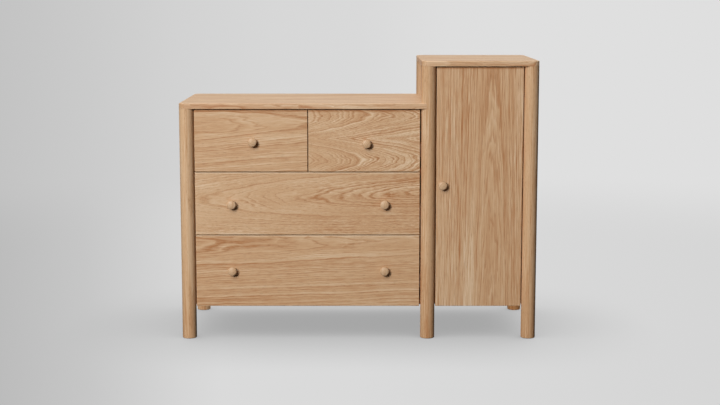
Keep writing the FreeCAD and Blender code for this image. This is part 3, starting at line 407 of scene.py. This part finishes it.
# Screws that hold the hinges and slides: turned steel, zinc-plated, a low crowned head with a
# cross recess. Sizes and places in millimetres, shares of the head's width or height.
screw = {"hingeWide": 6.8, "hingeHigh": 1.8, "slideWide": 6.0, "slideHigh": 0.6, "sides": 32,
         "crown": 0.7, "crownSteps": 5, "cross": 0.55, "crossWide": 0.15, "crossDeep": 0.6, "smooth": 40}
hingeScrews = {"levels": (215.0, 851.5), "plateX": 586, "plateY": -161, "plateOff": (-17, 17),
               "armX": 579.5, "armY": (-169, -147), "cupX": 547.5, "cupY": -218.8, "cupOff": (-24, 24)}
slideScrews = {  # level of each drawer's slides and the walls that they stand on
    "top_left_drawer": (662.9, -569.5, -186.75), "top_right_drawer": (662.9, -168.75, 214.0),
    "middle_drawer": (441.4, -569.5, 214.0), "bottom_drawer": (198.0, -569.5, 214.0)}
slideAlong, slideWeb = (-156.0, -6.0, 144.0), 11.5  # along the slide, and its web from the wall


def screwHead(wide, high):
    bpy.ops.object.select_all(action="DESELECT")
    bpy.ops.mesh.primitive_cylinder_add(
        vertices=screw["sides"], radius=wide / 2, depth=high, location=(0, 0, high / 2))
    head = bpy.context.object
    bpy.ops.object.transform_apply(location=True, rotation=True, scale=True)
    for edge in head.data.edges:  # the rim of the upper face
        edge.select = all(head.data.vertices[corner].co.z > high * 0.9 for corner in edge.vertices)
    for face in head.data.polygons:
        face.select = face.normal.z > 0.9
    bpy.ops.object.mode_set(mode="EDIT")
    bpy.ops.mesh.bevel(offset=high * screw["crown"], segments=screw["crownSteps"], affect="EDGES")
    bpy.ops.object.mode_set(mode="OBJECT")
    for turn in (0, 90):  # two slots that cross
        bpy.ops.object.select_all(action="DESELECT")
        bpy.ops.mesh.primitive_cube_add(
            size=1, location=(0, 0, high), rotation=(0, 0, math.radians(turn)),
            scale=(wide * screw["cross"], wide * screw["crossWide"], high * screw["crossDeep"] * 2))
        slot = bpy.context.object
        cut = head.modifiers.new("slot", "BOOLEAN")
        cut.object = slot
        bpy.context.view_layer.objects.active = head
        bpy.ops.object.modifier_apply(modifier="slot")
        bpy.data.objects.remove(slot)
    bpy.ops.object.select_all(action="DESELECT")
    head.select_set(True)
    bpy.ops.object.shade_smooth_by_angle(angle=math.radians(screw["smooth"]))
    return head


def setScrews(name, head, body, places):  # each place with the way its head looks
    turns = {"-x": Matrix.Rotation(math.radians(-90), 4, "Y"), "+x": Matrix.Rotation(math.radians(90), 4, "Y"),
             "+y": Matrix.Rotation(math.radians(-90), 4, "X")}
    copies = []
    for place, looks in places:
        copy = bpy.data.objects.new(name, head.data.copy())
        scene.collection.objects.link(copy)
        spin = Matrix.Rotation(random.uniform(0, math.pi / 2), 4, "Z")
        copy.data.transform(Matrix.Translation(Vector(place) / 1000) @ turns[looks] @ spin)
        copies.append(copy)
    bpy.ops.object.select_all(action="DESELECT")
    for copy in copies:
        copy.select_set(True)
    bpy.context.view_layer.objects.active = copies[0]
    bpy.ops.object.join()
    copies[0].data.materials.clear()
    copies[0].data.materials.append(zincSteel)
    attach(copies[0], body)


hingeHead = screwHead(screw["hingeWide"] / 1000, screw["hingeHigh"] / 1000)
slideHead = screwHead(screw["slideWide"] / 1000, screw["slideHigh"] / 1000)
hingeLevels = hingeScrews["levels"]
setScrews("hinge_plate_screws", hingeHead, "carcass",
          [((hingeScrews["plateX"], hingeScrews["plateY"], level + off), "-x")
           for level in hingeLevels for off in hingeScrews["plateOff"]])
setScrews("hinge_arm_screws", hingeHead, "carcass",
          [((hingeScrews["armX"], along, level), "-x") for level in hingeLevels for along in hingeScrews["armY"]])
setScrews("hinge_cup_screws", hingeHead, "door",
          [((hingeScrews["cupX"], hingeScrews["cupY"], level + off), "+y")
           for level in hingeLevels for off in hingeScrews["cupOff"]])
for drawer, (level, left, right) in slideScrews.items():
    setScrews(drawer + "_slide_screws", slideHead, drawer,
              [((left + slideWeb, along, level), "-x") for along in slideAlong]
              + [((right - slideWeb, along, level), "+x") for along in slideAlong])
for head in (hingeHead, slideHead):
    bpy.data.objects.remove(head)
print("screws set")

# Stage: a pale floor that fades into a pale surround: a glowing plate for the camera, matt and dim
# for light that bounces. Its tone and that of the surround fall off to the left, by the angle from a point
# in front of the piece. The piece's shadow on the floor is painted: ambient occlusion darkens the plate.
stage = {"size": 16.0, "front": 5.2, "fadeFrom": 2.2, "fadeTo": 4.8, "dim": "#505050",
         "shadow": 0.455, "closed": 0.15, "reach": 0.5, "samples": 16}
surround = {"axis": (-0.2, -0.5, 0.84), "gather": 4.0, "strength": 0.22, "least": 0.02, "tint": "#ffdcb8"}
backdropTones = [(-0.25, "#c2c2c2"), (-0.186, "#cacaca"), (-0.125, "#d2d2d2"), (-0.06, "#d7d7d7"),
                 (0.0, "#d9d9d9"), (0.06, "#dedede"), (0.10, "#dfdfdf")]
floorTones = [(-0.256, "#bcbcbc"), (-0.194, "#c6c6c6"), (-0.16, "#cecece"), (-0.129, "#d5d5d5"),
              (-0.098, "#dadada"), (0.0, "#dadada"), (0.1, "#d8d8d8"), (0.25, "#d6d6d6")]


def acrossRamp(tree, value, tones):
    first, last = tones[0][0], tones[-1][0]
    share = addNode(tree, "ShaderNodeMapRange", {}, {"Value": value, "From Min": first, "From Max": last})
    ramp = addNode(tree, "ShaderNodeValToRGB", {}, {"Fac": share})
    fillRamp(ramp, [((x - first) / (last - first), tone) for x, tone in tones])
    return ramp


def seenDirectly(tree):  # 1 for the camera, mirrors and glass, 0 for light that bounces
    path = addNode(tree, "ShaderNodeLightPath")
    both = addNode(tree, "ShaderNodeMath", {"operation": "MAXIMUM"}, {
        0: path.outputs["Is Camera Ray"], 1: path.outputs["Is Glossy Ray"]})
    return addNode(tree, "ShaderNodeMath", {"operation": "MAXIMUM"}, {
        0: both, 1: path.outputs["Is Transmission Ray"]})


bpy.ops.object.select_all(action="DESELECT")
bpy.ops.mesh.primitive_plane_add(size=stage["size"], location=(0, 0, 0))
floor = bpy.context.object
floor.name = "floor"
material, tree = newMaterial("pale floor with painted shadow")
place = addNode(tree, "ShaderNodeTexCoord")
axes = addNode(tree, "ShaderNodeSeparateXYZ", {}, {"Vector": place.outputs["Object"]})
ahead = addNode(tree, "ShaderNodeMath", {"operation": "ADD"}, {0: axes.outputs["Y"], 1: stage["front"]})
angle = addNode(tree, "ShaderNodeMath", {"operation": "DIVIDE"}, {0: axes.outputs["X"], 1: ahead})
# painted shadow: the plate is darker where the piece closes in the floor, not shaded by the lamps
nearness = addNode(tree, "ShaderNodeAmbientOcclusion", {"samples": stage["samples"]}, {"Distance": stage["reach"]})
light = addNode(tree, "ShaderNodeMapRange", {}, {
    "Value": nearness.outputs["AO"], "From Min": stage["closed"], "To Min": 1 - stage["shadow"], "To Max": 1.0})
plate = addNode(tree, "ShaderNodeEmission", {}, {"Color": acrossRamp(tree, angle, floorTones), "Strength": light})
dim = addNode(tree, "ShaderNodeBsdfDiffuse", {}, {"Color": toLinear(stage["dim"])})
shown = addNode(tree, "ShaderNodeMixShader", {}, {0: seenDirectly(tree), 1: dim, 2: plate})
far = addNode(tree, "ShaderNodeVectorMath", {"operation": "LENGTH"}, {0: place.outputs["Object"]})
fade = addNode(tree, "ShaderNodeMapRange", {"interpolation_type": "SMOOTHSTEP"}, {
    "Value": far.outputs["Value"], "From Min": stage["fadeFrom"], "From Max": stage["fadeTo"]})
clear = addNode(tree, "ShaderNodeBsdfTransparent")
ends = addNode(tree, "ShaderNodeMixShader", {}, {0: fade, 1: shown, 2: clear})
addNode(tree, "ShaderNodeOutputMaterial", {}, {"Surface": ends})
floor.data.materials.append(material)

# The surround: the pale backdrop for what sees it directly, a weak warm dome for the light it gives
world = bpy.data.worlds.new("pale studio")
world.use_nodes = True
scene.world = world
tree = world.node_tree
tree.nodes.clear()
look = addNode(tree, "ShaderNodeTexCoord")
axes = addNode(tree, "ShaderNodeSeparateXYZ", {}, {"Vector": look.outputs["Generated"]})
backdrop = addNode(tree, "ShaderNodeBackground", {}, {
    "Color": acrossRamp(tree, axes.outputs["X"], backdropTones)})
facing = addNode(tree, "ShaderNodeVectorMath", {"operation": "DOT_PRODUCT"}, {
    0: look.outputs["Generated"], 1: surround["axis"]})
above = addNode(tree, "ShaderNodeMath", {"operation": "MAXIMUM"}, {0: facing.outputs["Value"], 1: 0.0})
gathered = addNode(tree, "ShaderNodeMath", {"operation": "POWER"}, {0: above, 1: surround["gather"]})
strength = addNode(tree, "ShaderNodeMath", {"operation": "MULTIPLY_ADD"}, {
    0: gathered, 1: surround["strength"], 2: surround["least"]})
dome = addNode(tree, "ShaderNodeBackground", {}, {"Color": toLinear(surround["tint"]), "Strength": strength})
either = addNode(tree, "ShaderNodeMixShader", {}, {0: seenDirectly(tree), 1: dome, 2: backdrop})
addNode(tree, "ShaderNodeOutputWorld", {}, {"Surface": either})

# Lamps: a key from the left in front, a softer one high in front, one overhead for the tops, and one
# from the right behind that only fills the back and the right side. The others fill single pieces:
# one from behind along the right front post, one level from behind for the edges of the tops, a
# warm one from behind for the left sides of two posts, and a narrow warm one along the floor for
# the foot that stands in the dark.
lamps = {
    "key": {"aim": (-0.1, -0.24, 0.5), "from": (-0.43, -1.0, 0.37), "away": 7.6, "size": (1.5, 1.5),
            "power": 410, "without": ["floor"]},
    "high": {"aim": (0, -0.24, 0.5), "from": (-0.42, -1.0, 0.78), "away": 7.6, "size": (2.0, 2.0),
             "power": 150, "without": ["floor"]},
    "top": {"aim": (0, 0, 0.9), "from": (-0.1, 0.1, 1.0), "away": 4.6, "size": (1.6, 1.6),
            "power": 120, "without": ["floor"]},
    "side": {"aim": (0.3, 0.2, 0.5), "from": (0.7, 0.72, 0.3), "away": 4.6, "size": (1.4, 1.4),
             "power": 160, "without": ["floor", "dresser_top", "tower_top", "right_front_post"]},
    "edge": {"aim": (0.6, -0.2, 0.5), "from": (0.26, 0.97, 0.3), "away": 4.6, "size": (0.6, 0.6),
             "power": 260, "only": ["right_front_post"]},
    "rim": {"aim": (0.2, 0.2, 0.9), "from": (0.75, 0.8, -0.08), "away": 4.6, "size": (0.5, 0.5),
            "power": 170, "only": ["dresser_top", "tower_top"]},
    "glance": {"aim": (0.4, -0.2, 0.5), "from": (-0.7, 0.72, 0.1), "away": 4.6, "size": (0.6, 0.6),
               "power": 55, "tint": "#ffd0a0", "shadow": False,
               "only": ["middle_front_post", "right_front_post"]},
    "low": {"aim": (0.597, 0.24, 0), "from": (-0.35, -1.0, 0.03), "away": 4.0, "cone": 5, "blend": 0.8,
            "power": 320, "tint": "#ffdcb8", "only": ["right_back_post"]},
}
for name, setting in lamps.items():
    towards = Vector(setting["from"]).normalized()
    lampData = bpy.data.lights.new(name, "SPOT" if "cone" in setting else "AREA")
    if "cone" in setting:
        lampData.spot_size, lampData.spot_blend = math.radians(setting["cone"]), setting["blend"]
    else:
        lampData.shape = "RECTANGLE"
        lampData.size, lampData.size_y = setting["size"]
    lampData.energy = setting["power"]
    lampData.use_shadow = setting.get("shadow", True)
    lampData.color = toLinear(setting.get("tint", "#ffffff"))[:3]
    lamp = bpy.data.objects.new(name, lampData)
    scene.collection.objects.link(lamp)
    lamp.location = Vector(setting["aim"]) + towards * setting["away"]
    lamp.rotation_euler = towards.to_track_quat("Z", "Y").to_euler()
    lamp.visible_camera = False
    fills = "only" in setting
    lamp.visible_glossy = not fills  # the lamps that fill single pieces add no shine
    named = bpy.data.collections.new(("lit by " if fills else "not lit by ") + name)
    lamp.light_linking.receiver_collection = named
    for other in setting["only" if fills else "without"]:
        named.objects.link(floor if other == "floor" else frame["nodes"][other])
    for link in named.collection_objects:
        link.light_linking.link_state = "INCLUDE" if fills else "EXCLUDE"
print("stage and light set")

# Camera fitted to the edges of the posts, tops and feet, for a picture of 720 by 405
shot = {"location": (0.0042, -5.2158, 1.1904), "pitch": 81.903, "lens": 72.193, "sensor": 36.0, "clip": 200}
cameraData = bpy.data.cameras.new("camera")
cameraData.lens = shot["lens"]
cameraData.sensor_width = shot["sensor"]
cameraData.clip_end = shot["clip"]
camera = bpy.data.objects.new("camera", cameraData)
scene.collection.objects.link(camera)
camera.location = shot["location"]
camera.rotation_euler = (math.radians(shot["pitch"]), 0, 0)
scene.camera = camera
print("camera set")
